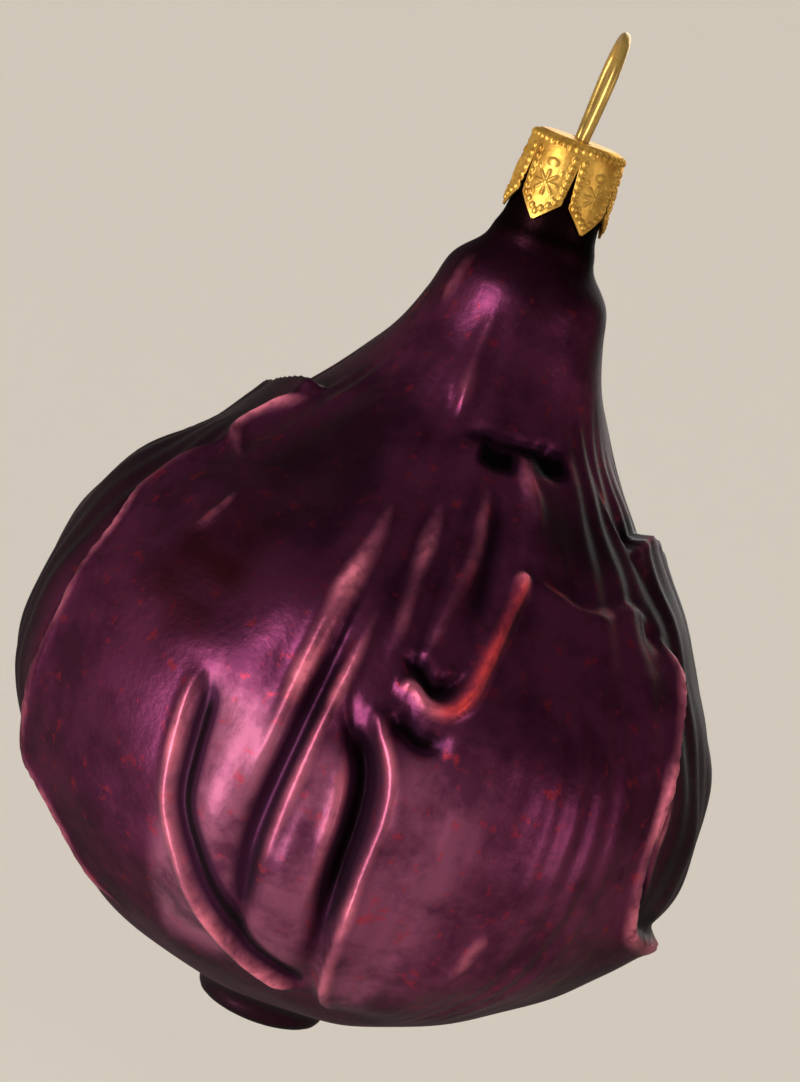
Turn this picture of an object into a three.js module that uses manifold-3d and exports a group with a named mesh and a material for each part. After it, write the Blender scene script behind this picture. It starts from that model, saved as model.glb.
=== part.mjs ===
// A blown-glass hanging ornament in the shape of a red onion that is splitting into cloves.
// Three pieces: the hollow glass bulb, the pressed metal crown cap on its neck, and the sprung
// wire hanger whose legs go down through the cap and spread inside the bulb.
// Millimetres, +Z up. The origin is the hang point, inside the top of the wire loop, and the
// front of the bulb, with the window of two cloves, faces -Y.

import * as THREE from 'three';
import { mergeVertices } from 'three/addons/utils/BufferGeometryUtils.js';
import Module from 'manifold-3d';

const wasm = await Module();
wasm.setup();

// ---- Driving dimensions -------------------------------------------------------------------

const NECK_RIM_Z = -10.7;
const NECK_RADIUS = 4.3;
const NECK_LIP_RADIUS = 4;   // the rim is rounded off by the flame
const ROOT_FLAT_Z = -102;
const ROOT_FLAT_RADIUS = 4.2;
const GLASS_WALL = 0.9;
const NECK_LIP_WALL = 0.6;

const BULB_SIDES = 56;
const BULB_ROWS = 37;

const CAP_TOP_Z = -10;
const CAP_SHEET = 0.3;
const CAP_SHOULDER_RADIUS = 4.85;
const CAP_HEM_RADIUS = 5.2;
const CAP_SIDES = 60;
const PETALS = 6;
const PETAL_TURN = 38;       // azimuth of one petal's middle line, degrees
const SLIT_TOP_Z = -12;
const SLIT_FOOT_Z = -16.2;
const SLIT_FOOT_WIDTH = 0.8;
const PETAL_TIP_Z = -18.3;

const WIRE_DIAMETER = 1;
const WIRE_SIDES = 8;
const WIRE_STEPS = 72;
const LOOP_RADIUS = 4.2;     // of the wire's centre line
const LEG_REACH = 2.65;      // half the distance between the legs in the neck
const LEG_SPREAD = 5.3;      // half the distance between the legs' ends in the bulb
const LEG_END_Z = -27;
const WIRE_HOLE_RADIUS = 0.85;
const LOOP_TURN = 4.5;       // from the YZ plane, which brings the front leg towards +X, degrees
const LOOP_LEAN = 0.45;      // how far the loop's top leans towards +X

// ---- Small helpers ------------------------------------------------------------------------

const rad = THREE.MathUtils.degToRad;
const smooth = (from, to, x) => THREE.MathUtils.smoothstep(x, from, to);

// The shortest turn between two azimuths, in degrees.
function turnBetween(a, b) {
  return ((((a - b) % 360) + 540) % 360) - 180;
}

function toSolid(geometry) {
  geometry.deleteAttribute('normal');
  geometry.deleteAttribute('uv');
  const merged = mergeVertices(geometry, 1e-4);
  return new wasm.Manifold(new wasm.Mesh({
    numProp: 3,
    vertProperties: new Float32Array(merged.attributes.position.array),
    triVerts: new Uint32Array(merged.index.array),
  }));
}

function toGeometry(solid) {
  const mesh = solid.getMesh();
  const geometry = new THREE.BufferGeometry();
  geometry.setAttribute('position', new THREE.BufferAttribute(mesh.vertProperties, 3));
  geometry.setIndex(new THREE.BufferAttribute(mesh.triVerts, 1));
  geometry.computeVertexNormals();
  return geometry;
}

function namedMesh(name, geometry, look) {
  const mesh = new THREE.Mesh(geometry, new THREE.MeshStandardMaterial(look));
  mesh.name = name;
  return mesh;
}

// ---- Glass bulb ---------------------------------------------------------------------------

// Half outline of the bulb from the neck's rim down to the root's flat: radius, height.
const BULB_OUTLINE = [
  [NECK_LIP_RADIUS, NECK_RIM_Z], [NECK_RADIUS, -14], [NECK_RADIUS + 0.3, -18.3], [5.1, -20],
  [5.7, -21.7], [7.9, -24.3], [9, -28], [10.8, -32.5], [13.4, -37.3], [17.2, -41.5],
  [22.5, -46.8], [27.4, -52.2], [31.2, -57.8], [33.7, -63.6], [34.7, -70], [34.1, -76],
  [31.2, -83.2], [25.9, -89.4], [19.4, -94], [12.9, -96.9], [8.8, -98.2], [6.9, -99.5],
  [6.1, -101.2], [ROOT_FLAT_RADIUS, ROOT_FLAT_Z],
];

// Broad swellings and hollows of the bulb. Each is an azimuth and half width in degrees, a
// distance down the skin from the neck's rim and half length in mm, and a height in mm.
const SWELLINGS = [
  { azimuth: -92, halfWidth: 34, down: 54, halfLength: 14, height: 1 },
  { azimuth: -95, halfWidth: 40, down: 86, halfLength: 17, height: -1.5 },
  { azimuth: 88, halfWidth: 30, down: 52, halfLength: 12, height: -0.3 },
  { azimuth: 84, halfWidth: 30, down: 78, halfLength: 9, height: 0.8 },
  { azimuth: -18, halfWidth: 12, down: 77, halfLength: 20, height: 0.7 },
  { azimuth: -2, halfWidth: 8, down: 77, halfLength: 18, height: 0.6 },
  { azimuth: -34, halfWidth: 16, down: 54, halfLength: 16, height: -0.9 },
  { azimuth: 32, halfWidth: 26, down: 70, halfLength: 26, height: 0.6 },
  { azimuth: 136, halfWidth: 24, down: 66, halfLength: 26, height: 0.8 },
  { azimuth: 172, halfWidth: 16, down: 74, halfLength: 22, height: 0.7 },
  { azimuth: -140, halfWidth: 24, down: 68, halfLength: 26, height: 0.7 },
];

// Free edges of the outer sheets. A sheet stands proud on one side of its edge (side 1 is the
// side of greater azimuth) and the skin under it dips. Points are azimuth and distance down.
const SHEET_EDGES = [
  { side: 1, lift: 0.7, dip: 0.5,
    path: [[-67, 45], [-67, 52], [-62, 60], [-60, 70], [-62, 80], [-54, 85], [-46, 93], [-38, 99]] },
  { side: -1, lift: 0.8, dip: 0.7,
    path: [[-31, 60], [-27, 68], [-25, 75], [-20, 81], [-12, 88], [0, 93], [9, 95]] },
  { side: 1, lift: 0.8, dip: 0.9,
    path: [[-2, 60], [4, 64], [7.5, 69], [7.4, 79], [10, 90], [17, 98]] },
  { side: -1, lift: 0.8, dip: 0.7,
    path: [[60, 44], [65, 50], [58, 60], [56, 69], [63, 76], [84, 78], [104, 83], [116, 92]] },
  { side: -1, lift: 0.9, dip: 1,
    path: [[64, 38.5], [74, 37.4], [84, 37.2], [96, 39], [108, 43]] },
  { side: -1, lift: 1.6, dip: 0.3,
    path: [[-114, 41], [-98, 37], [-86, 34.8], [-76, 33.4], [-66, 33]] },
  { side: 1, lift: 0.7, dip: 0.6,
    path: [[108, 48], [116, 58], [118, 68], [118, 78], [128, 89], [142, 97]] },
  { side: -1, lift: 0.7, dip: 0.7,
    path: [[156, 56], [157, 66], [157, 76], [161, 86], [168, 94]] },
  { side: -1, lift: 0.7, dip: 0.7,
    path: [[192, 56], [191, 66], [190, 76], [191, 86], [194, 93]] },
  { side: 1, lift: 0.7, dip: 0.6,
    path: [[-118, 46], [-117, 56], [-119, 66], [-118, 76], [-112, 86], [-100, 94]] },
];
const EDGE_FADE = 7;         // how far into the sheet its lift dies away
const EDGE_DIP_REACH = 4;

// Grooves between cloves, and the rolled lip where the neck's sheath is torn (a raised one).
const GROOVES = [
  { depth: 0.9, reach: 2.2, path: [[-10, 50], [-9, 60], [-9.4, 72], [-9, 83], [-7, 90]] },
  { depth: 0.9, reach: 2.2, path: [[-4, 61], [2, 65], [5.3, 71], [5.2, 80], [6, 90]] },
  { depth: 0.8, reach: 2.4, path: [[174, 58], [175, 70], [175, 82], [178, 92]] },
  { depth: -0.8, reach: 2, path: [[2, 58], [12, 58], [16, 53.5], [19, 48], [22, 44]] },
];

const outline = new THREE.SplineCurve(BULB_OUTLINE.map(([r, z]) => new THREE.Vector2(r, z)));
const skin = outline.getSpacedPoints(BULB_ROWS);
const rowLength = outline.getLength() / BULB_ROWS;

function radiusAt(down) {
  const row = THREE.MathUtils.clamp(down / rowLength, 0, BULB_ROWS - 0.001);
  const low = Math.floor(row);
  return THREE.MathUtils.lerp(skin[low].x, skin[low + 1].x, row - low);
}

// Close points along a stroke, each with its place, its direction in mm and how far it has
// faded in from the stroke's two ends.
function sampleStroke(path, count = 36) {
  const curve = new THREE.SplineCurve(path.map(([az, down]) => new THREE.Vector2(az, down)));
  return Array.from({ length: count + 1 }, (_, i) => {
    const t = i / count;
    const point = curve.getPoint(t);
    const ahead = curve.getTangent(t);
    const degree = rad(1) * radiusAt(point.y);
    return {
      azimuth: point.x, down: point.y, degree,
      ahead: new THREE.Vector2(ahead.x * degree, ahead.y).normalize(),
      strength: smooth(0, 0.15, t) * smooth(0, 0.15, 1 - t),
    };
  });
}

for (const stroke of [...SHEET_EDGES, ...GROOVES]) stroke.samples = sampleStroke(stroke.path);

// The nearest place on a stroke: distance in mm, positive on the side of greater azimuth.
function nearest(stroke, azimuth, down) {
  let best = { distance: Infinity, strength: 0 };
  for (const sample of stroke.samples) {
    const across = turnBetween(azimuth, sample.azimuth) * sample.degree;
    const along = down - sample.down;
    const distance = Math.hypot(across, along);
    if (distance < Math.abs(best.distance)) {
      const side = across * sample.ahead.y - along * sample.ahead.x < 0 ? -1 : 1;
      best = { distance: side * distance, strength: sample.strength };
    }
  }
  return best;
}

// Height of the moulded relief over the plain outline, in mm.
function relief(azimuth, down) {
  let height = 0;
  for (const { azimuth: middle, halfWidth, down: level, halfLength, height: top } of SWELLINGS) {
    const across = Math.min(1, Math.abs(turnBetween(azimuth, middle)) / halfWidth);
    const along = Math.min(1, Math.abs(down - level) / halfLength);
    height += top * (0.5 + 0.5 * Math.cos(Math.PI * across)) * (0.5 + 0.5 * Math.cos(Math.PI * along));
  }
  for (const edge of SHEET_EDGES) {
    const { distance, strength } = nearest(edge, azimuth, down);
    const onSheet = distance * edge.side;
    const step = onSheet > 0
      ? edge.lift * Math.exp(-onSheet / EDGE_FADE)
      : -edge.dip * Math.exp(onSheet / EDGE_DIP_REACH);
    height += strength * step;
  }
  for (const groove of GROOVES) {
    const { distance, strength } = nearest(groove, azimuth, down);
    height -= strength * groove.depth * Math.exp(-((distance / groove.reach) ** 2));
  }
  const total = outline.getLength();
  return height * smooth(18, 34, down) * (1 - smooth(total - 14, total - 5, down));
}

// The outward direction of the outline at a row, as radius and height.
function outward(row) {
  const above = skin[Math.max(row - 1, 0)];
  const below = skin[Math.min(row + 1, BULB_ROWS)];
  return new THREE.Vector2(above.y - below.y, below.x - above.x).normalize();
}

// One closed skin: up the outside from the middle of the root, over the neck's rim, and down
// the inside to the middle again. Each ring is then moved out or in by the relief.
function glassBulb() {
  const rings = skin.map((point, row) => ({ point, row, normal: outward(row) }));
  const inside = rings.map(({ point, row, normal }) => ({
    point: row === 0
      ? new THREE.Vector2(point.x - NECK_LIP_WALL, point.y)
      : point.clone().addScaledVector(normal, -GLASS_WALL),
    row, normal,
  }));
  const flat = { row: BULB_ROWS, normal: new THREE.Vector2(0, 0) };
  const outerMiddle = { ...flat, point: new THREE.Vector2(0, ROOT_FLAT_Z) };
  const innerMiddle = { ...flat, point: new THREE.Vector2(0, inside[BULB_ROWS].point.y) };
  const section = [outerMiddle, ...rings.reverse(), ...inside, innerMiddle];

  const geometry = new THREE.LatheGeometry(section.map(({ point }) => point), BULB_SIDES);
  geometry.rotateX(Math.PI / 2);
  const position = geometry.attributes.position;
  for (let i = 0; i < position.count; i++) {
    const { row, normal } = section[i % section.length];
    const turn = (2 * Math.PI * Math.floor(i / section.length)) / BULB_SIDES;
    const height = relief(THREE.MathUtils.radToDeg(turn), row * rowLength);
    position.setXYZ(
      i,
      position.getX(i) + height * normal.x * Math.sin(turn),
      position.getY(i) - height * normal.x * Math.cos(turn),
      position.getZ(i) + height * normal.y,
    );
  }
  return geometry;
}

// ---- Crown cap ----------------------------------------------------------------------------

function crownCap() {
  const shell = [
    [0, CAP_TOP_Z], [3.6, CAP_TOP_Z], [4.35, CAP_TOP_Z - 0.25], [4.75, CAP_TOP_Z - 0.8],
    [CAP_SHOULDER_RADIUS, CAP_TOP_Z - 1.6], [CAP_SHOULDER_RADIUS + 0.1, CAP_TOP_Z - 3],
    [CAP_HEM_RADIUS, PETAL_TIP_Z], [CAP_HEM_RADIUS - CAP_SHEET, PETAL_TIP_Z],
    [CAP_SHOULDER_RADIUS + 0.1 - CAP_SHEET, CAP_TOP_Z - 3],
    [CAP_SHOULDER_RADIUS - CAP_SHEET, CAP_TOP_Z - 1.7], [4.45, CAP_TOP_Z - 1],
    [4.15, CAP_TOP_Z - CAP_SHEET - 0.2], [3.6, CAP_TOP_Z - CAP_SHEET], [0, CAP_TOP_Z - CAP_SHEET],
  ].reverse();
  const cup = new THREE.LatheGeometry(shell.map(([r, z]) => new THREE.Vector2(r, z)), CAP_SIDES);
  let solid = toSolid(cup.rotateX(Math.PI / 2));

  // What is cut away between two petals: a narrow slit that opens into a pointed notch.
  const pitch = 360 / PETALS;
  const tipReach = CAP_HEM_RADIUS * Math.sin(rad(pitch / 2)) + 0.1;
  const notch = new THREE.Shape([
    new THREE.Vector2(0, SLIT_TOP_Z),
    new THREE.Vector2(-SLIT_FOOT_WIDTH / 2, SLIT_FOOT_Z),
    new THREE.Vector2(-tipReach, PETAL_TIP_Z),
    new THREE.Vector2(-tipReach, PETAL_TIP_Z - 1),
    new THREE.Vector2(tipReach, PETAL_TIP_Z - 1),
    new THREE.Vector2(tipReach, PETAL_TIP_Z),
    new THREE.Vector2(SLIT_FOOT_WIDTH / 2, SLIT_FOOT_Z),
  ]);
  for (let petal = 0; petal < PETALS; petal++) {
    const cutter = new THREE.ExtrudeGeometry(notch, { depth: CAP_HEM_RADIUS, bevelEnabled: false });
    cutter.rotateX(Math.PI / 2).translate(0, -2, 0);
    cutter.rotateZ(rad(PETAL_TURN + pitch * (petal + 0.5)));
    solid = solid.subtract(toSolid(cutter));
  }
  for (const side of [-1, 1]) {
    const drill = new THREE.CylinderGeometry(WIRE_HOLE_RADIUS, WIRE_HOLE_RADIUS, 3, 16);
    drill.rotateX(Math.PI / 2).translate(0, side * LEG_REACH, CAP_TOP_Z);
    drill.rotateZ(rad(LOOP_TURN));
    solid = solid.subtract(toSolid(drill));
  }
  return toGeometry(solid);
}

// ---- Wire hanger --------------------------------------------------------------------------

// The wire's centre line in the plane of the loop: up one leg, round the loop, down the other.
function hangerWire() {
  const loopMiddle = WIRE_DIAMETER / 2 - LOOP_RADIUS;
  const leg = [
    [LEG_SPREAD, LEG_END_Z], [LEG_REACH + 0.9, -22.5], [LEG_REACH, -18], [LEG_REACH, -14],
    [LEG_REACH, CAP_TOP_Z], [LEG_REACH + 0.7, -7.6],
  ];
  const arc = [-15, 10, 35, 60, 90].map((angle) => [
    LOOP_RADIUS * Math.cos(rad(angle)), loopMiddle + LOOP_RADIUS * Math.sin(rad(angle)),
  ]);
  const half = [...leg, ...arc];
  const mirrored = half.slice(0, -1).reverse().map(([reach, z]) => [-reach, z]);
  const route = [...half, ...mirrored].map(([reach, z]) => {
    const lean = LOOP_LEAN * Math.max(0, (z - CAP_TOP_Z) / -CAP_TOP_Z);
    return new THREE.Vector3(lean, -reach, z);
  });
  const section = new THREE.Shape(Array.from({ length: WIRE_SIDES }, (_, i) => {
    const turn = (2 * Math.PI * i) / WIRE_SIDES;
    return new THREE.Vector2(Math.cos(turn), Math.sin(turn)).multiplyScalar(WIRE_DIAMETER / 2);
  }));
  const geometry = new THREE.ExtrudeGeometry(section, {
    steps: WIRE_STEPS,
    bevelEnabled: false,
    extrudePath: new THREE.CatmullRomCurve3(route),
  });
  return geometry.rotateZ(rad(LOOP_TURN));
}

// ---- Assembly -----------------------------------------------------------------------------

const ornament = new THREE.Group();
ornament.add(
  namedMesh('glass_bulb', glassBulb(), { color: 0x5c2148, roughness: 0.32, metalness: 0.85 }),
  namedMesh('crown_cap', crownCap(), { color: 0xc9992f, roughness: 0.3, metalness: 1 }),
  namedMesh('hanger_wire', hangerWire(), { color: 0xb9974a, roughness: 0.28, metalness: 1 }),
);

export default ornament;
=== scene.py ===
"""A blown-glass hanging ornament shaped like a red onion that is splitting into cloves."""

import math

import bmesh
import bpy
import numpy as np
from mathutils import Matrix, Vector


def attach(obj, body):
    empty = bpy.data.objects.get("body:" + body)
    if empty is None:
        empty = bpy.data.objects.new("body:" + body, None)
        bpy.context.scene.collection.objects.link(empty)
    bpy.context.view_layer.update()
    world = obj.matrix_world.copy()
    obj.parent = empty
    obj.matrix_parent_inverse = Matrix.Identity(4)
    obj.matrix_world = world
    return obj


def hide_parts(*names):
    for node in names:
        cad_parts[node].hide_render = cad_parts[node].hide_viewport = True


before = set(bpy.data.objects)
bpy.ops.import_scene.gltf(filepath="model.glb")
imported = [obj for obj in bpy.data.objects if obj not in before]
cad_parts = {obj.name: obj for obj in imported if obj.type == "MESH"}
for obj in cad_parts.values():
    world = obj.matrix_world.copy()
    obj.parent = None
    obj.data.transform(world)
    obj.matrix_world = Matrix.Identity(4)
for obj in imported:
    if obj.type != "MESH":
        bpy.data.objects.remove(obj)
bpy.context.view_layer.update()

MM = 0.001
scene = bpy.context.scene


# ---- Camera --------------------------------------------------------------------------------
# The ornament is seen from a little above its front, with the picture turned so that the neck
# leans to the upper right.
CAMERA_DISTANCE = 350 * MM
CAMERA_RISE = math.radians(10)
CAMERA_ROLL = math.radians(20.5)
CAMERA_TARGET = Vector((-2.85, 0, -52.5)) * MM
CAMERA_LENS = 119.6

backward = Vector((0, -math.cos(CAMERA_RISE), math.sin(CAMERA_RISE)))
level_right = Vector((1, 0, 0))
level_up = Vector((0, math.sin(CAMERA_RISE), math.cos(CAMERA_RISE)))
rolled_right = level_right * math.cos(CAMERA_ROLL) + level_up * math.sin(CAMERA_ROLL)
rolled_up = level_up * math.cos(CAMERA_ROLL) - level_right * math.sin(CAMERA_ROLL)
camera = bpy.data.objects.new("camera", bpy.data.cameras.new("camera"))
camera.data.lens = CAMERA_LENS
camera.data.sensor_width = 36
camera.data.clip_start = 0.01
camera.matrix_world = Matrix.Translation(CAMERA_TARGET + backward * CAMERA_DISTANCE) @ Matrix(
    (rolled_right, rolled_up, backward)).transposed().to_4x4()
scene.collection.objects.link(camera)
scene.camera = camera


# ---- Floor and light -----------------------------------------------------------------------
# A pale matt floor that curves up all round like a shallow bowl, well below the hanging
# ornament. A dim room with one tall window gives the satin glass its dark and bright parts.
FLOOR_Z = -600 * MM
FLOOR_FLAT_RADIUS = 1.0
FLOOR_RIM_RADIUS = 2.2
FLOOR_RIM_HEIGHT = 1.5
FLOOR_COLOUR = (0.72, 0.675, 0.615, 1)
FLOOR_IN_GLOSS = (0.21, 0.18, 0.16, 1)
FLOOR_SIDES = 96

floor_profile = [(FLOOR_FLAT_RADIUS / 2, 0), (FLOOR_FLAT_RADIUS, 0)]
for step in range(1, 13):
    bend = math.radians(90 * step / 12)
    floor_profile.append((
        FLOOR_FLAT_RADIUS + (FLOOR_RIM_RADIUS - FLOOR_FLAT_RADIUS) * math.sin(bend),
        FLOOR_RIM_HEIGHT * (1 - math.cos(bend))))
floor_mesh = bmesh.new()
rings = []
for radius, height in floor_profile:
    rings.append([floor_mesh.verts.new((radius * math.cos(2 * math.pi * side / FLOOR_SIDES),
                                        radius * math.sin(2 * math.pi * side / FLOOR_SIDES),
                                        FLOOR_Z + height)) for side in range(FLOOR_SIDES)])
middle = floor_mesh.verts.new((0, 0, FLOOR_Z))
for side in range(FLOOR_SIDES):
    ahead = (side + 1) % FLOOR_SIDES
    floor_mesh.faces.new((middle, rings[0][side], rings[0][ahead]))
    for inner, outer in zip(rings, rings[1:]):
        floor_mesh.faces.new((inner[side], outer[side], outer[ahead], inner[ahead]))
floor = bpy.data.objects.new("floor", bpy.data.meshes.new("floor"))
floor_mesh.to_mesh(floor.data)
floor_mesh.free()
floor.data.shade_smooth()
scene.collection.objects.link(floor)

floor_material = bpy.data.materials.new("matt paper")
floor_material.use_nodes = True
floor_shader = floor_material.node_tree.nodes["Principled BSDF"]
floor_shader.inputs["Base Color"].default_value = FLOOR_COLOUR
floor_shader.inputs["Roughness"].default_value = 0.9
floor_shader.inputs["Specular IOR Level"].default_value = 0.1
floor_nodes, floor_links = floor_material.node_tree.nodes, floor_material.node_tree.links
floor_ray = floor_nodes.new("ShaderNodeLightPath")
dim_floor = floor_nodes.new("ShaderNodeEmission")
dim_floor.inputs["Color"].default_value = FLOOR_IN_GLOSS
floor_choice = floor_nodes.new("ShaderNodeMixShader")
floor_links.new(floor_ray.outputs["Is Glossy Ray"], floor_choice.inputs[0])
floor_links.new(floor_shader.outputs[0], floor_choice.inputs[1])
floor_links.new(dim_floor.outputs[0], floor_choice.inputs[2])
floor_links.new(floor_choice.outputs[0], floor_nodes["Material Output"].inputs["Surface"])
floor.data.materials.append(floor_material)

# The room: dim in mirror reflections, bright enough to light the matt floor evenly, and pale
# where it is looked at directly over the floor's rim.
ROOM_IN_GLOSS = ((0.80, 0.78, 0.80, 1), 0.05)
ROOM_ON_FLOOR = ((1.0, 0.985, 0.96, 1), 0.98)
ROOM_SEEN = ((0.62, 0.58, 0.53, 1), 1.0)
world = bpy.data.worlds.new("studio")
world.use_nodes = True
scene.world = world
sky, sky_links = world.node_tree.nodes, world.node_tree.links
ray = sky.new("ShaderNodeLightPath")
lit = sky["Background"]
for colour_and_strength, ray_kind in ((ROOM_IN_GLOSS, "Is Glossy Ray"), (ROOM_SEEN, "Is Camera Ray")):
    other = sky.new("ShaderNodeBackground")
    other.inputs["Color"].default_value, other.inputs["Strength"].default_value = colour_and_strength
    choice = sky.new("ShaderNodeMixShader")
    sky_links.new(ray.outputs[ray_kind], choice.inputs[0])
    sky_links.new(lit.outputs[0], choice.inputs[1])
    sky_links.new(other.outputs[0], choice.inputs[2])
    lit = choice
sky["Background"].inputs["Color"].default_value = ROOM_ON_FLOOR[0]
sky["Background"].inputs["Strength"].default_value = ROOM_ON_FLOOR[1]
sky_links.new(lit.outputs[0], sky["World Output"].inputs["Surface"])


def softbox(name, azimuth, rise, distance, width, height, power, colour):
    """A soft rectangular light. Azimuth is from the front towards +X, in degrees."""
    lamp = bpy.data.objects.new(name, bpy.data.lights.new(name, "AREA"))
    lamp.data.shape = "RECTANGLE"
    lamp.data.size, lamp.data.size_y = width, height
    lamp.data.energy = power
    lamp.data.color = colour
    side, up = math.radians(azimuth), math.radians(rise)
    towards = Vector((math.sin(side) * math.cos(up), -math.cos(side) * math.cos(up), math.sin(up)))
    lamp.location = Vector((0, 0, -60)) * MM + towards * distance
    lamp.rotation_euler = towards.to_track_quat("Z", "Y").to_euler()
    lamp.visible_camera = False
    scene.collection.objects.link(lamp)


softbox("window", -42, -12, 0.6, 0.26, 0.92, 4.6, (1.0, 0.97, 0.98))
softbox("right_fill", 62, 0, 0.9, 0.3, 0.5, 0.7, (1.0, 0.94, 0.92))
softbox("back", 165, 20, 1.0, 0.7, 0.7, 3, (1.0, 0.98, 0.95))

scene.view_settings.view_transform = "Standard"


# ---- Glass bulb ----------------------------------------------------------------------------
# One piece of glass, blown into a mould in the shape of a bulb whose outer skin has torn. It
# is silvered inside and sprayed outside with a satin plum lacquer. Its colour is painted lighter
# on the crests, as worn lacquer, and on the cloves, as paler lacquer, both with painted highlight;
# it is painted darker in the grooves and hollows, as pooled lacquer and painted shade, and the
# shoulders, far lobes, knob and neck carry painted shade.
NECK_RADIUS = 4.3
NECK_LIP_RADIUS = 4
NECK_BORE_RADIUS = 3.4
NECK_RIM_Z = -10.7
ROOT_FLAT_RADIUS = 4.2
ROOT_FLAT_Z = -102
BULB_WALL = 0.9
BORE_DEPTH = 14              # how far down the inside of the neck is made, mm
BULB_COLUMNS = 384
BULB_ROWS = 224
BORE_ROWS = 14
FRONT_CROWDING = 0.42        # how much closer the columns lie at the front than on average
PLEAT_WAVES = 9
DENT_WAVES = 14

# Half outline from the neck's rim to the flat of the root: radius and height in mm.
BULB_OUTLINE = [
    (NECK_LIP_RADIUS, NECK_RIM_Z), (NECK_RADIUS, -14), (NECK_RADIUS + 0.3, -18.3), (5.1, -20),
    (5.7, -21.7), (7.9, -24.3), (9, -28), (10.8, -32.5), (13.4, -37.3), (17.2, -41.5),
    (22.5, -46.8), (27.4, -52.2), (31.2, -57.8), (33.7, -63.6), (34.7, -70), (34.1, -76),
    (31.2, -83.2), (25.9, -89.4), (19.4, -94), (12.9, -96.9), (8.8, -98.2), (6.9, -99.5),
    (6.1, -101.2), (ROOT_FLAT_RADIUS, ROOT_FLAT_Z),
]


def smooth_curve(points, count):
    """count + 1 points along a smooth curve through the given points."""
    points = np.asarray(points, float)
    place = np.linspace(0, len(points) - 1, count + 1)
    span = np.minimum(place.astype(int), len(points) - 2)
    part = (place - span)[:, None]
    before, start = points[np.maximum(span - 1, 0)], points[span]
    end, after = points[span + 1], points[np.minimum(span + 2, len(points) - 1)]
    return 0.5 * (2 * start + (end - before) * part
                  + (2 * before - 5 * start + 4 * end - after) * part ** 2
                  + (3 * (start - end) + after - before) * part ** 3)


def smooth_step(low, high, value):
    """0 below low and 1 above high, with an even ease between them."""
    part = np.clip((value - low) / (high - low), 0, 1)
    return part * part * (3 - 2 * part)


def turn_between(a, b):
    """The shortest turn from b to a, in degrees."""
    return (a - b + 180) % 360 - 180


dense_outline = smooth_curve(BULB_OUTLINE, 4000)
outline_steps = np.hypot(*np.diff(dense_outline, axis=0).T)
outline_down = np.concatenate([[0], np.cumsum(outline_steps)])
SKIN_LENGTH = outline_down[-1]
row_down = np.linspace(0, SKIN_LENGTH, BULB_ROWS + 1)
row_radius = np.interp(row_down, outline_down, dense_outline[:, 0])
row_height = np.interp(row_down, outline_down, dense_outline[:, 1])
slope = np.stack([np.gradient(row_radius), np.gradient(row_height)], axis=1)
slope /= np.linalg.norm(slope, axis=1)[:, None]
row_out = np.stack([-slope[:, 1], slope[:, 0]], axis=1)

# Columns lie closer together round the front, where the finest folds are.
column_turn = np.linspace(0, 2 * math.pi, BULB_COLUMNS, endpoint=False)
column_azimuth = np.degrees(column_turn - FRONT_CROWDING * np.sin(column_turn))
azimuth, down = np.meshgrid(column_azimuth, row_down)
azimuth = turn_between(azimuth, 0)

relief = np.zeros_like(down)
worn_and_highlit = np.zeros_like(down)       # where the lacquer has run thin on crests, and painted highlight there
pooled_and_shade = np.zeros_like(down)     # where it lies thick, and painted shade, in grooves and hollows


def stroke(path, reach, taper=0.12):
    """The part of the skin within reach of a line: where it is, its distance from the line in
    mm (positive on the side of greater azimuth as one goes down) and the line's strength."""
    line = smooth_curve(path, 16 * (len(path) - 1))
    degree = np.radians(np.interp(line[:, 1], row_down, row_radius))
    ahead = np.gradient(line, axis=0)
    ahead[:, 0] *= degree
    ahead /= np.linalg.norm(ahead, axis=1)[:, None] + 1e-9
    part = np.linspace(0, 1, len(line))
    strength = smooth_step(0, taper, part) * smooth_step(0, taper, 1 - part)
    margin = reach / max(degree.min(), 0.02) + 2
    middle = line[:, 0].mean()
    half = np.abs(turn_between(line[:, 0], middle)).max() + margin
    near = (np.abs(turn_between(azimuth, middle)) < half)
    near &= (down > line[:, 1].min() - reach) & (down < line[:, 1].max() + reach)
    where = np.nonzero(near)
    across = turn_between(azimuth[where][:, None], line[None, :, 0]) * degree
    along = down[where][:, None] - line[None, :, 1]
    distance = np.hypot(across, along)
    closest = distance.argmin(axis=1)
    rows = np.arange(len(closest))
    side = np.sign(across[rows, closest] * ahead[closest, 1]
                   - along[rows, closest] * ahead[closest, 0])
    return where, np.where(side < 0, -1, 1) * distance[rows, closest], strength[closest]


def sheet_edge(path, proud, lift, dip, bead=0.3, fade=6, reach=4, roll=0.7):
    """The free edge of a sheet of skin, which stands proud on one side and is rolled, with a painted
    highlight on its crest and painted shade beside it.
    """
    where, distance, strength = stroke(path, 22)
    inside = distance * proud
    step = smooth_step(-0.8, 0.5, inside)
    height = lift * np.exp(-np.maximum(inside, 0) / fade) * step
    height -= dip * np.exp(np.minimum(inside, 0) / reach) * (1 - step)
    crest_shape = np.exp(-((inside - 0.5) / roll) ** 2)
    relief[where] += strength * (height + bead * crest_shape)
    worn_and_highlit[where] = np.maximum(worn_and_highlit[where], strength * crest_shape * min(1, bead * 2.2))
    # Painted shade on the skin just beside the edge, off its proud side.
    shade = np.exp(-((inside + 1.3) / 1.1) ** 2)
    pooled_and_shade[where] = np.maximum(pooled_and_shade[where], strength * shade * min(1, dip))


def crest(path, height, width, taper=0.38, worn=0.5):
    """A raised fold of the skin, on which some of the lacquer is worn and a highlight is painted."""
    where, distance, strength = stroke(path, 4 * width, taper)
    shape = strength * np.exp(-(distance / (width * (0.5 + 0.5 * strength))) ** 2)
    relief[where] += height * shape
    worn_and_highlit[where] = np.maximum(worn_and_highlit[where], shape * worn)


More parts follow.
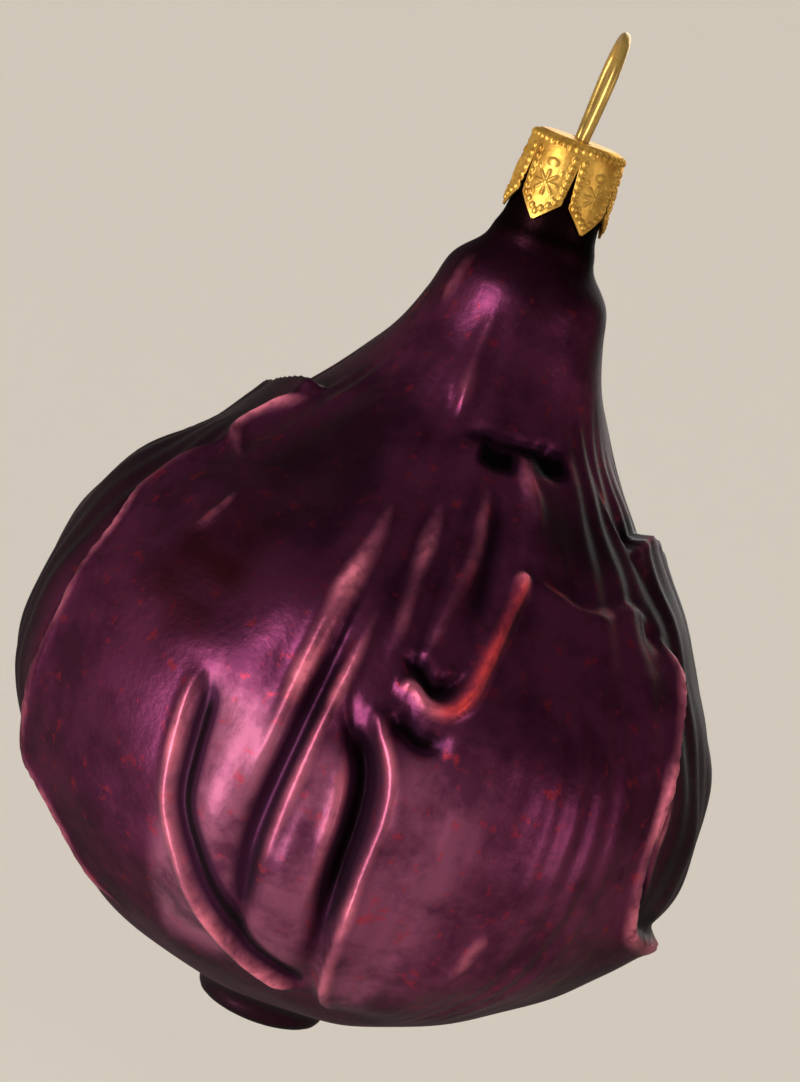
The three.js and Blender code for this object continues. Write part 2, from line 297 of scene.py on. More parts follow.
def groove(path, depth, width, dark=0.3):
    """A valley between two folds, painted darker along its middle as shade."""
    where, distance, strength = stroke(path, 4 * width, 0.28)
    shape = strength * np.exp(-(distance / (width * (0.5 + 0.5 * strength))) ** 2)
    relief[where] -= depth * shape
    pooled_and_shade[where] = np.maximum(pooled_and_shade[where], shape * dark)


def swelling(middle, half_width, level, half_length, height):
    """A broad swelling, or a hollow if its height is negative."""
    across = np.minimum(1, np.abs(turn_between(azimuth, middle)) / half_width)
    along = np.minimum(1, np.abs(down - level) / half_length)
    shape = (0.5 + 0.5 * np.cos(math.pi * across)) * (0.5 + 0.5 * np.cos(math.pi * along))
    relief[:] += height * shape


chance = np.random.default_rng(11)


def pleats(fewest, most, lean):
    """Uneven pleats that run down the skin, between the fewest and most in a full turn."""
    total = np.zeros_like(down)
    for _ in range(PLEAT_WAVES):
        cycles = chance.integers(fewest, most)
        start = chance.uniform(0, 2 * math.pi)
        slant = chance.uniform(-lean, lean)
        wander = 0.7 * np.sin(down / chance.uniform(7, 15) + chance.uniform(0, 2 * math.pi))
        total += np.cos(cycles * np.radians(azimuth) + slant * down + wander + start)
    return total / math.sqrt(PLEAT_WAVES)


def dents(size):
    """Uneven shallow dents of about the given size in mm."""
    total = np.zeros_like(down)
    x, y = np.sin(np.radians(azimuth)), np.cos(np.radians(azimuth))
    for _ in range(DENT_WAVES):
        direction = chance.normal(size=3)
        direction *= 2 * math.pi / size / np.linalg.norm(direction)
        total += np.cos(direction[0] * row_radius[:, None] * x
                        + direction[1] * row_radius[:, None] * y
                        + direction[2] * row_height[:, None] + chance.uniform(0, 2 * math.pi))
    return total / math.sqrt(DENT_WAVES)


def patch(first, last, top, bottom, side_fade, end_fade):
    """1 inside a patch of the skin between two azimuths and two distances down, 0 outside. It
    fades over side_fade degrees at its sides and end_fade mm at its top and bottom."""
    middle, half = (first + last) / 2, (last - first) / 2
    across = np.abs(turn_between(azimuth, middle))
    between_sides = 1 - smooth_step(half - side_fade / 2, half + side_fade / 2, across)
    below_top = smooth_step(top, top + end_fade, down)
    return between_sides * below_top * (1 - smooth_step(bottom - end_fade, bottom, down))


# The whole bulb: lobes on the left and right, and a hollow left of the two cloves.
swelling(-92, 34, 54, 14, 1.0)
swelling(-95, 40, 86, 17, -1.5)
swelling(88, 30, 52, 12, -0.3)
swelling(84, 30, 78, 9, 0.8)
swelling(-34, 16, 54, 16, -0.9)
swelling(32, 26, 70, 26, 0.6)
swelling(136, 24, 66, 26, 0.8)
swelling(172, 16, 74, 22, 0.7)
swelling(-140, 24, 68, 26, 0.7)

relief += 0.16 * dents(9) + 0.22 * dents(19)

# Left sheet: its outer edge, and its inner edge round the window.
sheet_edge([(-66, 43), (-67, 47), (-67, 52), (-64, 56), (-61.3, 61), (-59.8, 65.5), (-60, 72),
            (-62, 80), (-56, 83), (-50, 88), (-46, 92), (-40, 97)], 1, 0.9, 1.0, bead=0.3, roll=0.6)
sheet_edge([(-27, 62.5), (-25.9, 67), (-24.9, 71), (-23.6, 75.7), (-20.4, 79.5), (-15.8, 83.7),
            (-7.5, 90), (1, 93.2), (8, 94.5)], -1, 0.5, 1.1, bead=0.5, reach=3, roll=0.8)

# The two cloves in the window, with the grooves beside them.
swelling(-17, 9, 77, 17, 0.7)
swelling(-2.5, 7, 76, 15, 0.6)
swelling(-1.5, 3, 74, 9, -0.35)
groove([(-9, 44), (-9, 55.3), (-9.1, 64.6), (-10.1, 72.6), (-10.1, 78), (-9.3, 84), (-8, 92)],
       1.1, 1.25, dark=0.72)
crest([(-14, 36), (-11.8, 43.5), (-11.8, 50), (-12, 58), (-12.2, 66), (-12.6, 78)], 0.9, 1.1,
      worn=0.95)
crest([(-5, 47), (-5.2, 55), (-6.4, 63.9), (-6.8, 68.5), (-7.4, 76.3), (-7.2, 84)], 0.6, 0.85,
      worn=0.8)
crest([(-4, 62), (-1.2, 65.3), (0.2, 68.5), (0.8, 72), (0.8, 78), (-0.5, 89)], 0.45, 0.9)
groove([(-5, 58.5), (-2.2, 62.3), (1.2, 64.8), (2.9, 67.6), (3.6, 71.6), (3.8, 75.5), (5.2, 83.6),
        (7.6, 94)], 2.0, 1.35, dark=1)

# Right sheet: its inner edge, its shoulder, and its outer edge, which sweeps round below.
sheet_edge([(-1, 60), (2.5, 62.6), (5.4, 65.6), (6.5, 69), (6.5, 73), (7, 80), (10.2, 91.5),
            (18, 98)], 1, 0.9, 0.2, bead=0.3, fade=6)
sheet_edge([(23, 43), (32, 44.4), (42, 45.5), (50, 44.5), (56, 44), (64, 45.5)], -1, 0.5, 0.3,
           bead=0.02, fade=4, reach=2)
sheet_edge([(63, 46), (65, 50.5), (61, 56), (58, 60.5), (56.3, 67), (58, 72), (63, 75.5),
            (72, 77.3), (84, 78.5), (96, 81), (106, 86), (116, 93)], -1, 0.7, 1.2, bead=0.5,
           roll=1.0)
swelling(61, 4, 46.5, 3, -0.8)
crest([(30.5, 77), (29.5, 79.5), (28, 84)], 0.4, 0.8)
crest([(62, 60), (61, 65), (61.4, 70), (64, 75)], 0.5, 0.9, worn=0.7)
relief += 0.07 * pleats(46, 90, 0.02) * patch(12, 60, 50, 98, 10, 8)

# The torn, rolled lip of the neck's sheath, and the hollows round it, which get painted shade.
crest([(2, 57.8), (5, 57.4), (8, 58.6), (11.5, 58.6), (14.4, 56.4), (16, 53.6), (18.5, 48.7),
       (21.6, 44.6), (21.3, 42.6)], 1.3, 0.75, taper=0.1, worn=1)
groove([(2.5, 60.2), (6, 61), (9.5, 61.8), (13.5, 60.6)], 1.2, 1.2, dark=1)
groove([(1.5, 54.6), (5.5, 55.4), (9, 56.6), (13.2, 54.4)], 1.1, 0.9, dark=1)
swelling(25, 7, 49, 8, -0.8)

# Folds and pleats of the sheath, from the neck down.
relief += 0.14 * pleats(12, 40, 0.015) * patch(-60, 70, 20, 62, 20, 14)
groove([(-7, 30.2), (4.7, 29.8), (20, 29.7), (33, 29.3), (45, 29)], 0.7, 0.9, dark=0.95)
swelling(11, 9, 31.4, 2.4, -0.9)
swelling(32, 9, 30.6, 2.4, -0.9)
# Painted shade in the two dents below the collar.
pooled_and_shade = np.maximum(pooled_and_shade, np.maximum(patch(4, 18, 29, 34, 5, 2), patch(25, 40, 28, 33, 5, 2)))
crest([(-14, 16), (-12.5, 21), (-9.6, 26), (-6.2, 29)], 0.7, 1.1, worn=0.3)
crest([(-54, 12), (-52, 16), (-50, 20)], 0.4, 1)
crest([(20, 29), (21.7, 33), (24.4, 36.6), (20.6, 43)], 0.7, 0.9, worn=0.45)
crest([(-2, 36), (-1.2, 42), (-0.4, 50), (0.4, 57)], 0.5, 1.0)
crest([(9, 32), (10.4, 38), (10.6, 42), (7, 50), (5, 57)], 0.55, 1.0)
groove([(5, 42), (4.6, 50), (4, 55)], 0.6, 0.9)
groove([(15, 34), (14, 43), (12.6, 51)], 0.7, 1.2, dark=0.5)
groove([(-3, 36), (-3, 44), (-2, 54)], 0.5, 1.1)
groove([(-24, 34), (-22, 42), (-20, 52)], 0.5, 2)
crest([(-64, 33), (-67, 35.6), (-69.4, 38), (-68, 41.5), (-60, 43), (-50, 44.1)], 0.6, 0.7,
      worn=0.9)
crest([(-46, 46), (-45, 49), (-46.5, 53)], 0.4, 0.6, worn=0.7)

# Far lobes at the two sides, whose tops stand out from the sheath.
sheet_edge([(64, 38.5), (74, 37.4), (84, 37.2), (96, 39), (108, 43)], -1, 0.9, 1.0, bead=0.1,
           fade=4, reach=4)
sheet_edge([(-114, 41), (-98, 37), (-86, 34.8), (-76, 33.4), (-66, 33)], -1, 1.6, 0.3, bead=0.1,
           fade=7, reach=2)
relief += 0.12 * pleats(30, 60, 0.02) * patch(66, 112, 26, 80, 12, 8)
relief += 0.12 * pleats(30, 70, 0.02) * patch(-120, -66, 40, 92, 12, 8)

# The back, which has one more window with a single clove between two sheets.
sheet_edge([(108, 48), (116, 58), (118, 68), (118, 78), (128, 89), (142, 97)], 1, 0.7, 0.6)
sheet_edge([(156, 56), (157, 66), (157, 76), (161, 86), (168, 94)], -1, 0.7, 0.7)
sheet_edge([(192, 56), (191, 66), (190, 76), (191, 86), (194, 93)], 1, 0.7, 0.7)
sheet_edge([(-118, 46), (-117, 56), (-119, 66), (-118, 76), (-112, 86), (-100, 94)], 1, 0.7, 0.6)
groove([(174, 58), (175, 70), (175, 82), (178, 92)], 0.9, 1.4)
crest([(150, 50), (158, 53), (170, 55), (184, 54), (196, 50)], 0.9, 0.9)
relief += 0.25 * pleats(14, 44, 0.015) * patch(100, 260, 20, 56, 20, 12)
relief += 0.13 * pleats(46, 90, 0.02) * patch(112, 248, 50, 98, 10, 8)

relief *= smooth_step(12, 26, down) * (1 - smooth_step(SKIN_LENGTH - 14, SKIN_LENGTH - 5, down))

# Where the lacquer is paler on the cloves, with a painted highlight there, and where a dark
# brown-red shade is painted into the hollow left of the cloves.
pale_and_highlit = 0.95 * patch(-26, -10, 60, 95, 5, 6) + 0.75 * patch(-8, 3, 62, 95, 5, 6) + (
    0.6 * patch(6, 21, 58, 98, 9, 8)) + 0.25 * patch(18, 56, 62, 98, 14, 12)
# Painted shade: darker towards the knob, on the far lobes at the sides and on the upper shoulders.
knob_shade = smooth_step(SKIN_LENGTH - 9, SKIN_LENGTH - 6, down)
far_lobe_shade = np.maximum(patch(-150, -68, 30, 88, 7, 12), patch(63, 120, 36, 78, 8, 8))
shoulder_shade = np.maximum(patch(-52, -20, 26, 54, 18, 16), patch(27, 62, 30, 46, 14, 8))
painted_shade = np.maximum(np.maximum(0.75 * far_lobe_shade, 0.8 * shoulder_shade), 0.9 * knob_shade)
# A dark brown-red painted into the hollow left of the cloves: painted shade tinted as a warm painted
# reflection.
warm_shade = 0.9 * patch(-47, -29, 42, 67, 9, 12) * (0.75 + 0.25 * np.tanh(dents(5)))
# The sheath's lip, whose crests get a red painted highlight instead of a rose one.
lip = patch(9, 25, 42, 62, 5, 4)

worn_and_highlit *= 0.72 + 0.28 * np.tanh(1.6 * dents(8))    # the wear and the painted highlight come and go along a rim

# Outside of the glass, then over the rim and a little way down the bore.
turn = np.radians(azimuth)
out_radius = row_radius[:, None] + relief * row_out[:, :1]
out_height = row_height[:, None] + relief * row_out[:, 1:]
outside = np.stack([out_radius * np.sin(turn), -out_radius * np.cos(turn), out_height], axis=2)
bore_down = np.linspace(0, BORE_DEPTH, BORE_ROWS + 1)
bore_radius = np.maximum(np.interp(bore_down, row_down, row_radius) - BULB_WALL, NECK_BORE_RADIUS)
bore_height = np.interp(bore_down, row_down, row_height)
bore_turn = np.radians(turn_between(column_azimuth, 0))[None, :]
bore = np.stack([bore_radius[::-1, None] * np.sin(bore_turn),
                 -bore_radius[::-1, None] * np.cos(bore_turn),
                 np.repeat(bore_height[::-1, None], BULB_COLUMNS, axis=1)], axis=2)
skin = np.concatenate([bore, outside])


def grid_mesh(name, points):
    """A mesh of closed rings of points in mm, with a fan over its first and last ring."""
    rows, columns = points.shape[:2]
    corner = np.arange(rows * columns).reshape(rows, columns)
    beside = np.roll(corner, -1, axis=1)
    quads = np.stack([corner[:-1], corner[1:], beside[1:], beside[:-1]], axis=2).reshape(-1, 4)
    vertices = points.reshape(-1, 3)
    faces = quads.tolist()
    for ring, flip in ((0, True), (rows - 1, False)):
        hub = len(vertices)
        vertices = np.vstack([vertices, points[ring].mean(axis=0)])
        pairs = zip(corner[ring].tolist(), beside[ring].tolist())
        faces += [(b, a, hub) if flip else (a, b, hub) for a, b in pairs]
    mesh = bpy.data.meshes.new(name)
    mesh.from_pydata((vertices * MM).tolist(), [], faces)
    mesh.update()
    mesh.shade_smooth()
    piece = bpy.data.objects.new(name, mesh)
    scene.collection.objects.link(piece)
    return piece


def store(piece, name, values):
    """Keeps one number for each vertex, for the piece's material."""
    layer = piece.data.attributes.new(name, "FLOAT", "POINT")
    padded = np.zeros(len(piece.data.vertices), np.float32)
    padded[:len(values)] = values
    layer.data.foreach_set("value", padded)


bulb = grid_mesh("blown_bulb", skin)
bore_count = (BORE_ROWS + 1) * BULB_COLUMNS
for layer_name, layer in (("worn_and_highlit", worn_and_highlit), ("pooled_and_shade", pooled_and_shade), ("down", down), ("pale_and_highlit", pale_and_highlit),
                          ("warm_shade", warm_shade), ("lip", lip), ("painted_shade", painted_shade)):
    store(bulb, layer_name, np.concatenate([np.zeros(bore_count), layer.reshape(-1)]))

lacquer = bpy.data.materials.new("satin plum lacquer")
lacquer.use_nodes = True
nodes, links = lacquer.node_tree.nodes, lacquer.node_tree.links
satin = nodes["Principled BSDF"]
satin.inputs["Specular Tint"].default_value = (0.12, 0.05, 0.08, 1)
satin.inputs["Coat Roughness"].default_value = 0.55


def mix_colour(tree, amount, low, high):
    """A colour mix node; amount, low and high are sockets, numbers or colours."""
    node = tree.nodes.new("ShaderNodeMix")
    node.data_type = "RGBA"
    for socket, value in ((0, amount), (6, low), (7, high)):
        if isinstance(value, bpy.types.NodeSocket):
            tree.links.new(value, node.inputs[socket])
        else:
            node.inputs[socket].default_value = value
    return node.outputs[2]


def ramp(tree, value, stops):
    """The value drawn through grey stops, each a place and a level."""
    node = tree.nodes.new("ShaderNodeValToRGB")
    tree.links.new(value, node.inputs[0])
    while len(node.color_ramp.elements) < len(stops):
        node.color_ramp.elements.new(0.5)
    for element, (place, level) in zip(node.color_ramp.elements, stops):
        element.position = place
        element.color = (level, level, level, 1)
    return node.outputs[0]


def noise(tree, scale, detail, roughness):
    """Noise from 0 to 1 that stays on the piece as it moves."""
    place = tree.nodes.new("ShaderNodeTexCoord")
    node = tree.nodes.new("ShaderNodeTexNoise")
    node.inputs["Scale"].default_value = scale
    node.inputs["Detail"].default_value = detail
    node.inputs["Roughness"].default_value = roughness
    tree.links.new(place.outputs["Object"], node.inputs["Vector"])
    return node.outputs["Fac"]


def attribute(tree, name):
    """The number that store() kept for each vertex."""
    node = tree.nodes.new("ShaderNodeAttribute")
    node.attribute_name = name
    return node.outputs["Fac"]


def product(tree, first, second):
    """One socket times another."""
    node = tree.nodes.new("ShaderNodeMath")
    node.operation = "MULTIPLY"
    tree.links.new(first, node.inputs[0])
    tree.links.new(second, node.inputs[1])
    return node.outputs[0]


def spread(tree, value, low, high):
    """A value from 0 to 1, drawn out from low to high."""
    node = tree.nodes.new("ShaderNodeMapRange")
    node.inputs["To Min"].default_value = low
    node.inputs["To Max"].default_value = high
    tree.links.new(value, node.inputs["Value"])
    return node.outputs[0]


def bumps(tree, height, strength, distance):
    """The normal of a surface with the given height, for a shader."""
    node = tree.nodes.new("ShaderNodeBump")
    node.inputs["Strength"].default_value = strength
    node.inputs["Distance"].default_value = distance
    tree.links.new(height, node.inputs["Height"])
    return node.outputs[0]


# The lacquer's colour, from where it lies evenly to where it is worn, stained or pooled, with
# painted highlight on crests and cloves and painted shade in grooves and hollows and on the
# shoulders, far lobes, knob and neck.
PLUM = (0.19, 0.034, 0.098, 1)
DEEP_PLUM = (0.085, 0.015, 0.045, 1)
CLOVE_HIGHLIGHT_MAUVE = (0.30, 0.085, 0.150, 1)
ROSE_HIGHLIGHT = (0.78, 0.19, 0.27, 1)
BROWN_RED_SHADE = (0.055, 0.006, 0.005, 1)
LIP_RED_HIGHLIGHT = (0.62, 0.05, 0.05, 1)
PAINTED_SHADE_DARK = (0.034, 0.012, 0.020, 1)
SPECK_RED = (0.42, 0.03, 0.05, 1)
POOLED_SHADE_PLUM = (0.045, 0.009, 0.030, 1)
GROOVE_SHADE_BLACK = (0.008, 0.002, 0.005, 1)
NECK_SHADE_BLACK = (0.010, 0.003, 0.004, 1)
tree = lacquer.node_tree
cloud = noise(tree, 170, 5, 0.65)
fleck = noise(tree, 620, 3, 0.6)
# Paler mauve on the cloves and the lower sheath: paler lacquer with a painted highlight.
colour = mix_colour(tree, attribute(tree, "pale_and_highlit"), PLUM, CLOVE_HIGHLIGHT_MAUVE)
colour = mix_colour(tree, ramp(tree, cloud, [(0.42, 0), (0.62, 0.85)]), colour, DEEP_PLUM)
colour = mix_colour(tree, ramp(tree, fleck, [(0.60, 0), (0.70, 0.6)]), colour, SPECK_RED)
colour = mix_colour(tree, attribute(tree, "warm_shade"), colour, BROWN_RED_SHADE)
# Painted shade on the far lobes, the upper shoulders and the knob.
colour = mix_colour(tree, attribute(tree, "painted_shade"), colour, PAINTED_SHADE_DARK)
# Crests painted rose, and red on the lip: worn lacquer with a painted highlight.
worn_and_highlit_crest = product(tree, ramp(tree, attribute(tree, "worn_and_highlit"), [(0.12, 0), (0.8, 1)]),
                     ramp(tree, fleck, [(0.32, 0.45), (0.55, 1)]))
colour = mix_colour(tree, worn_and_highlit_crest, colour,
                    mix_colour(tree, attribute(tree, "lip"), ROSE_HIGHLIGHT, LIP_RED_HIGHLIGHT))
# Painted shade, partly pooled lacquer: grooves, hollows and the skin beside sheet edges turn dark
# plum, the deepest grooves near-black.
colour = mix_colour(tree, ramp(tree, attribute(tree, "pooled_and_shade"), [(0.12, 0), (0.5, 1)]), colour,
                    POOLED_SHADE_PLUM)
colour = mix_colour(tree, ramp(tree, attribute(tree, "pooled_and_shade"), [(0.7, 0), (0.95, 1)]), colour,
                    GROOVE_SHADE_BLACK)

# The silvering shows less through the matt lacquer of worn crests and of the cloves, both with
# painted highlight.
matt_part = mix_colour(tree, worn_and_highlit_crest, attribute(tree, "pale_and_highlit"), (1, 1, 1, 1))
links.new(spread(tree, matt_part, 0.9, 0.4), satin.inputs["Metallic"])
# The neck just below the cap is painted near-black: painted shade under the cap.
neck_shade_fade = nodes.new("ShaderNodeMapRange")
neck_shade_fade.inputs["From Min"].default_value = 9
neck_shade_fade.inputs["From Max"].default_value = 20
links.new(attribute(tree, "down"), neck_shade_fade.inputs["Value"])
colour = mix_colour(tree, neck_shade_fade.outputs[0], NECK_SHADE_BLACK, colour)
links.new(colour, satin.inputs["Base Color"])

# The lacquer looks matt and grey where it is seen at a low angle, but not on the neck, which is
# painted near-black as shade.
low_angle = nodes.new("ShaderNodeLayerWeight")
low_angle.inputs["Blend"].default_value = 0.4
links.new(product(tree, ramp(tree, low_angle.outputs["Facing"], [(0.25, 0.05), (0.8, 0.6)]),
                  neck_shade_fade.outputs[0]), satin.inputs["Coat Weight"])
links.new(spread(tree, cloud, 0.24, 0.44), satin.inputs["Roughness"])
frosting = noise(tree, 1400, 3, 0.5)
links.new(bumps(tree, frosting, 0.25, 0.15 * MM), satin.inputs["Normal"])
bulb.data.materials.append(lacquer)

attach(bulb, "root")
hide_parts("glass_bulb")


# ---- Crown cap -----------------------------------------------------------------------------
# A cup of thin gold-coloured sheet, pressed with beads, a boss and a star on each of its six
# pointed petals, and pushed over the neck. Two punched holes let the hanger's legs through.
CAP_TOP_Z = -10
CAP_SHEET = 0.22
CAP_FLAT_RADIUS = 3.6
CAP_SHOULDER_DROP = 1.5
CAP_SHOULDER_RADIUS = 4.75
CAP_HEM_RADIUS = 5.02
PETALS = 6
PETAL_TURN = 38
PETAL_COLUMNS = 68
SLIT_TOP_Z = -12
SLIT_FOOT_Z = -16.2
SLIT_FOOT_WIDTH = 0.8
PETAL_TIP_Z = -18.3
TIP_WIDTH = 0.12
BEAD_RADIUS = 0.32
BEAD_HEIGHT = 0.22
BEAD_PITCH = 0.74
RIM_BEADS = 40
RIM_BEAD_DROP = 0.62         # of the beads' middles below the cap's top
EMBOSS_TOP_Z = -11.15        # the petals are pressed only below this
STAR_Z = -14.6
STAR_RISE = 0.17
STAR_RAY_WIDTH = 0.12
STAR_FADE = (1.05, 1.4)      # from the star's middle, where its rays begin and end to fade
TOP_ROW_STEP = 0.15
SIDE_ROW_STEP = 0.09
WELD_DISTANCE = 0.004
LEG_REACH = 2.65             # from the axis to each leg of the wire
LOOP_TURN = math.radians(4.5)
WIRE_HOLE_RADIUS = 0.8

# Rows of the cap from near the middle of its top to the petals' tips: radius and height.
cap_rows = [(radius, CAP_TOP_Z) for radius in np.arange(0.3, CAP_FLAT_RADIUS, TOP_ROW_STEP)]
for bend in np.radians(np.arange(4, 91, 4)):
    cap_rows.append((CAP_FLAT_RADIUS + (CAP_SHOULDER_RADIUS - CAP_FLAT_RADIUS) * math.sin(bend),
                     CAP_TOP_Z - CAP_SHOULDER_DROP * (1 - math.cos(bend))))
side_top = CAP_TOP_Z - CAP_SHOULDER_DROP
for height in np.arange(side_top - SIDE_ROW_STEP, PETAL_TIP_Z - 0.01, -SIDE_ROW_STEP):
    flare = (side_top - height) / (side_top - PETAL_TIP_Z)
    cap_rows.append((CAP_SHOULDER_RADIUS + (CAP_HEM_RADIUS - CAP_SHOULDER_RADIUS) * flare, height))
cap_radius, cap_height = np.array(cap_rows).T
PITCH = math.radians(360 / PETALS)


def petal_half_width(height):
    """Half the width of a petal in radians at each height."""
    slit = np.interp(-height, [-SLIT_TOP_Z, -SLIT_FOOT_Z], [0, SLIT_FOOT_WIDTH / 2 / CAP_HEM_RADIUS])
    taper = np.interp(-height, [-SLIT_FOOT_Z, -PETAL_TIP_Z], [1, TIP_WIDTH / CAP_HEM_RADIUS])
    return (PITCH / 2 - slit) * taper


half_width = petal_half_width(cap_height)
across_turn = np.linspace(-1, 1, PETAL_COLUMNS + 1)[None, :] * half_width[:, None]
across = across_turn * np.maximum(cap_radius, 0.5)[:, None]
level = np.repeat(cap_height[:, None], PETAL_COLUMNS + 1, axis=1)
emboss = np.zeros_like(level)
on_side = level < EMBOSS_TOP_Z


def bead(x, height, radius, rise, squash=1.0):
    """A rounded boss pressed out of a petal."""
    distance = np.hypot((across - x) / squash, level - height) / radius
    emboss[:] = np.maximum(emboss, on_side * rise * np.sqrt(np.clip(1 - distance ** 2, 0, 1)))


border = [(1.98, -11.8), (1.9, -15.85), (0, -17.45)]
border_step = np.concatenate([[0], np.cumsum(np.hypot(*np.diff(border, axis=0).T))])
for place in np.arange(0, border_step[-1] - 0.2, BEAD_PITCH):
    bead_x = np.interp(place, border_step, [x for x, _ in border])
    bead_z = np.interp(place, border_step, [z for _, z in border])
    for side in (-1, 1):
        bead(side * bead_x, bead_z, BEAD_RADIUS, BEAD_HEIGHT)
bead(0, -17.45, BEAD_RADIUS, BEAD_HEIGHT)
bead(0, -12.6, 0.42, 0.14, squash=1.5)
star_reach = np.hypot(across, level - STAR_Z)
star_turn = np.arctan2(level - STAR_Z, across)
ray_width = np.abs(np.sin(4 * star_turn)) / 4 * star_reach
ray_fade = 1 - smooth_step(*STAR_FADE, star_reach)
rays = STAR_RISE * np.exp(-(ray_width / STAR_RAY_WIDTH) ** 2) * ray_fade
emboss = np.maximum(emboss, on_side * rays)
bead(0, STAR_Z, 0.3, 0.24)
for side in (-1, 1):
    for height in (-13.3, -15.9):
        bead(side * 1.2, height, 0.2, 0.12)

cap_slope = np.stack([np.gradient(cap_radius), np.gradient(cap_height)], axis=1)
cap_slope /= np.linalg.norm(cap_slope, axis=1)[:, None]
cap_out = np.stack([-cap_slope[:, 1], cap_slope[:, 0]], axis=1)

cap_mesh = bmesh.new()
for petal in range(PETALS):
    turn = math.radians(PETAL_TURN) + petal * PITCH + across_turn
    rim_beads = np.abs((turn * RIM_BEADS / (2 * math.pi) + 0.5) % 1 - 0.5) * (
        2 * math.pi * CAP_SHOULDER_RADIUS / RIM_BEADS)
    rim_distance = np.hypot(rim_beads, level - CAP_TOP_Z + RIM_BEAD_DROP) / (1.1 * BEAD_RADIUS)
    on_rim = (cap_radius > CAP_FLAT_RADIUS + 0.2)[:, None] & (level > side_top)
    rise = np.maximum(emboss, on_rim * BEAD_HEIGHT * np.sqrt(np.clip(1 - rim_distance ** 2, 0, 1)))
    radius = cap_radius[:, None] + rise * cap_out[:, :1]
    z = cap_height[:, None] + rise * cap_out[:, 1:]
    corners = np.stack([radius * np.sin(turn), -radius * np.cos(turn), z], axis=2) * MM
    grid = [[cap_mesh.verts.new(corner) for corner in row] for row in corners.tolist()]
    for upper, lower in zip(grid, grid[1:]):
        for column in range(PETAL_COLUMNS):
            cap_mesh.faces.new((upper[column], lower[column], lower[column + 1],
                                upper[column + 1]))
    cap_mesh.faces.new([cap_mesh.verts.new((0, 0, CAP_TOP_Z * MM))] + grid[0])
bmesh.ops.remove_doubles(cap_mesh, verts=cap_mesh.verts, dist=WELD_DISTANCE * MM)

# The two holes: faces inside each are taken out, and the edge left is drawn on to a circle.
TOP_FACE_Z = (CAP_TOP_Z - 0.2) * MM
for side in (-1, 1):
    hole = Vector((math.sin(LOOP_TURN) * LEG_REACH * side, -math.cos(LOOP_TURN) * LEG_REACH * side))
    inside = [v for v in cap_mesh.verts if v.co.z > TOP_FACE_Z
              and (v.co.xy / MM - hole).length < WIRE_HOLE_RADIUS]
    bmesh.ops.delete(cap_mesh, geom=inside, context="VERTS")
    for vert in cap_mesh.verts:
        away = vert.co.xy / MM - hole
        if vert.co.z > TOP_FACE_Z and away.length < WIRE_HOLE_RADIUS + 0.2 and vert.is_boundary:
            edge_point = hole + away.normalized() * WIRE_HOLE_RADIUS
            vert.co.xy = edge_point * MM
bmesh.ops.recalc_face_normals(cap_mesh, faces=cap_mesh.faces)
cap = bpy.data.objects.new("pressed_cap", bpy.data.meshes.new("pressed_cap"))
cap_mesh.to_mesh(cap.data)
cap_mesh.free()
cap.data.shade_smooth()
scene.collection.objects.link(cap)
thickness = cap.modifiers.new("sheet", "SOLIDIFY")
thickness.thickness = CAP_SHEET * MM
thickness.offset = -1

gold = bpy.data.materials.new("pressed gold sheet")
gold.use_nodes = True
tree = gold.node_tree
shine = tree.nodes["Principled BSDF"]
shine.inputs["Metallic"].default_value = 0.68
shine.inputs["Specular Tint"].default_value = (1.0, 0.75, 0.35, 1)
GOLD = (0.80, 0.46, 0.09, 1)
DEEP_GOLD = (0.46, 0.20, 0.025, 1)
tarnish = ramp(tree, noise(tree, 420, 4, 0.6), [(0.42, 0), (0.7, 1)])
tree.links.new(mix_colour(tree, tarnish, GOLD, DEEP_GOLD), shine.inputs["Base Color"])
rubbed = noise(tree, 900, 3, 0.6)
tree.links.new(spread(tree, rubbed, 0.22, 0.46), shine.inputs["Roughness"])
hammered = noise(tree, 2600, 3, 0.6)
tree.links.new(bumps(tree, hammered, 0.5, 0.06 * MM), shine.inputs["Normal"])
cap.data.materials.append(gold)

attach(cap, "root")
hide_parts("crown_cap")


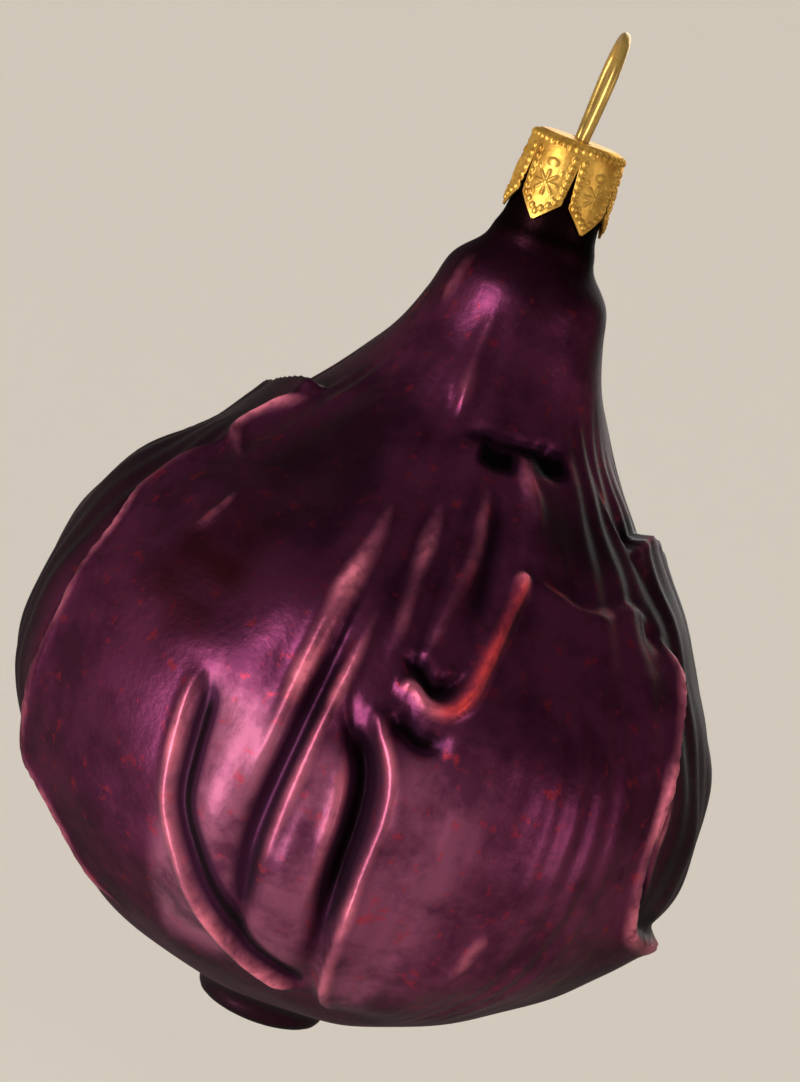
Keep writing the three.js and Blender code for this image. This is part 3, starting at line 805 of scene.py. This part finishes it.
# ---- Wire hanger ---------------------------------------------------------------------------
# One length of gold-coloured spring wire: up one leg, round the loop and down the other leg.
# The legs pass through the cap and spread inside the bulb, which holds the cap on the neck.
WIRE_RADIUS = 0.5
LOOP_RADIUS = 4.2
LEG_SPREAD = 5.3
LEG_END_Z = -27
LOOP_LEAN = 0.45
WIRE_SIDES = 20
WIRE_STEPS = 16

loop_middle = WIRE_RADIUS - LOOP_RADIUS
half_wire = [(LEG_SPREAD, LEG_END_Z), (LEG_REACH + 0.9, -22.5), (LEG_REACH, -18), (LEG_REACH, -14),
             (LEG_REACH, CAP_TOP_Z), (LEG_REACH + 0.7, -7.6)]
for angle in np.radians([-15, 10, 35, 60, 90]):
    half_wire.append((LOOP_RADIUS * math.cos(angle), loop_middle + LOOP_RADIUS * math.sin(angle)))
whole_wire = half_wire + [(-reach, z) for reach, z in half_wire[-2::-1]]
route = smooth_curve([(LOOP_LEAN * max(0, (z - CAP_TOP_Z) / -CAP_TOP_Z), -reach, z)
                      for reach, z in whole_wire], WIRE_STEPS * (len(whole_wire) - 1))
ahead = np.gradient(route, axis=0)
ahead /= np.linalg.norm(ahead, axis=1)[:, None]
level_side = np.cross(ahead, [1, 0, 0])
level_side /= np.linalg.norm(level_side, axis=1)[:, None]
other_side = np.cross(level_side, ahead)
round_turn = np.linspace(0, 2 * math.pi, WIRE_SIDES, endpoint=False)[None, :, None]
tube = route[:, None] + WIRE_RADIUS * (np.cos(round_turn) * other_side[:, None]
                                       + np.sin(round_turn) * level_side[:, None])
turned = np.array(Matrix.Rotation(LOOP_TURN, 3, "Z"))
wire = grid_mesh("wire_hanger", tube @ turned.T)

drawn = bpy.data.materials.new("drawn gold wire")
drawn.use_nodes = True
tree = drawn.node_tree
shine = tree.nodes["Principled BSDF"]
shine.inputs["Metallic"].default_value = 0.75
WIRE_GOLD = (0.78, 0.50, 0.13, 1)
WORN_WIRE = (0.50, 0.31, 0.08, 1)
wear = ramp(tree, noise(tree, 500, 4, 0.6), [(0.4, 0), (0.7, 1)])
tree.links.new(mix_colour(tree, wear, WIRE_GOLD, WORN_WIRE), shine.inputs["Base Color"])
rubbed = noise(tree, 1500, 3, 0.6)
tree.links.new(spread(tree, rubbed, 0.18, 0.4), shine.inputs["Roughness"])
wire.data.materials.append(drawn)

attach(wire, "root")
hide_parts("hanger_wire")
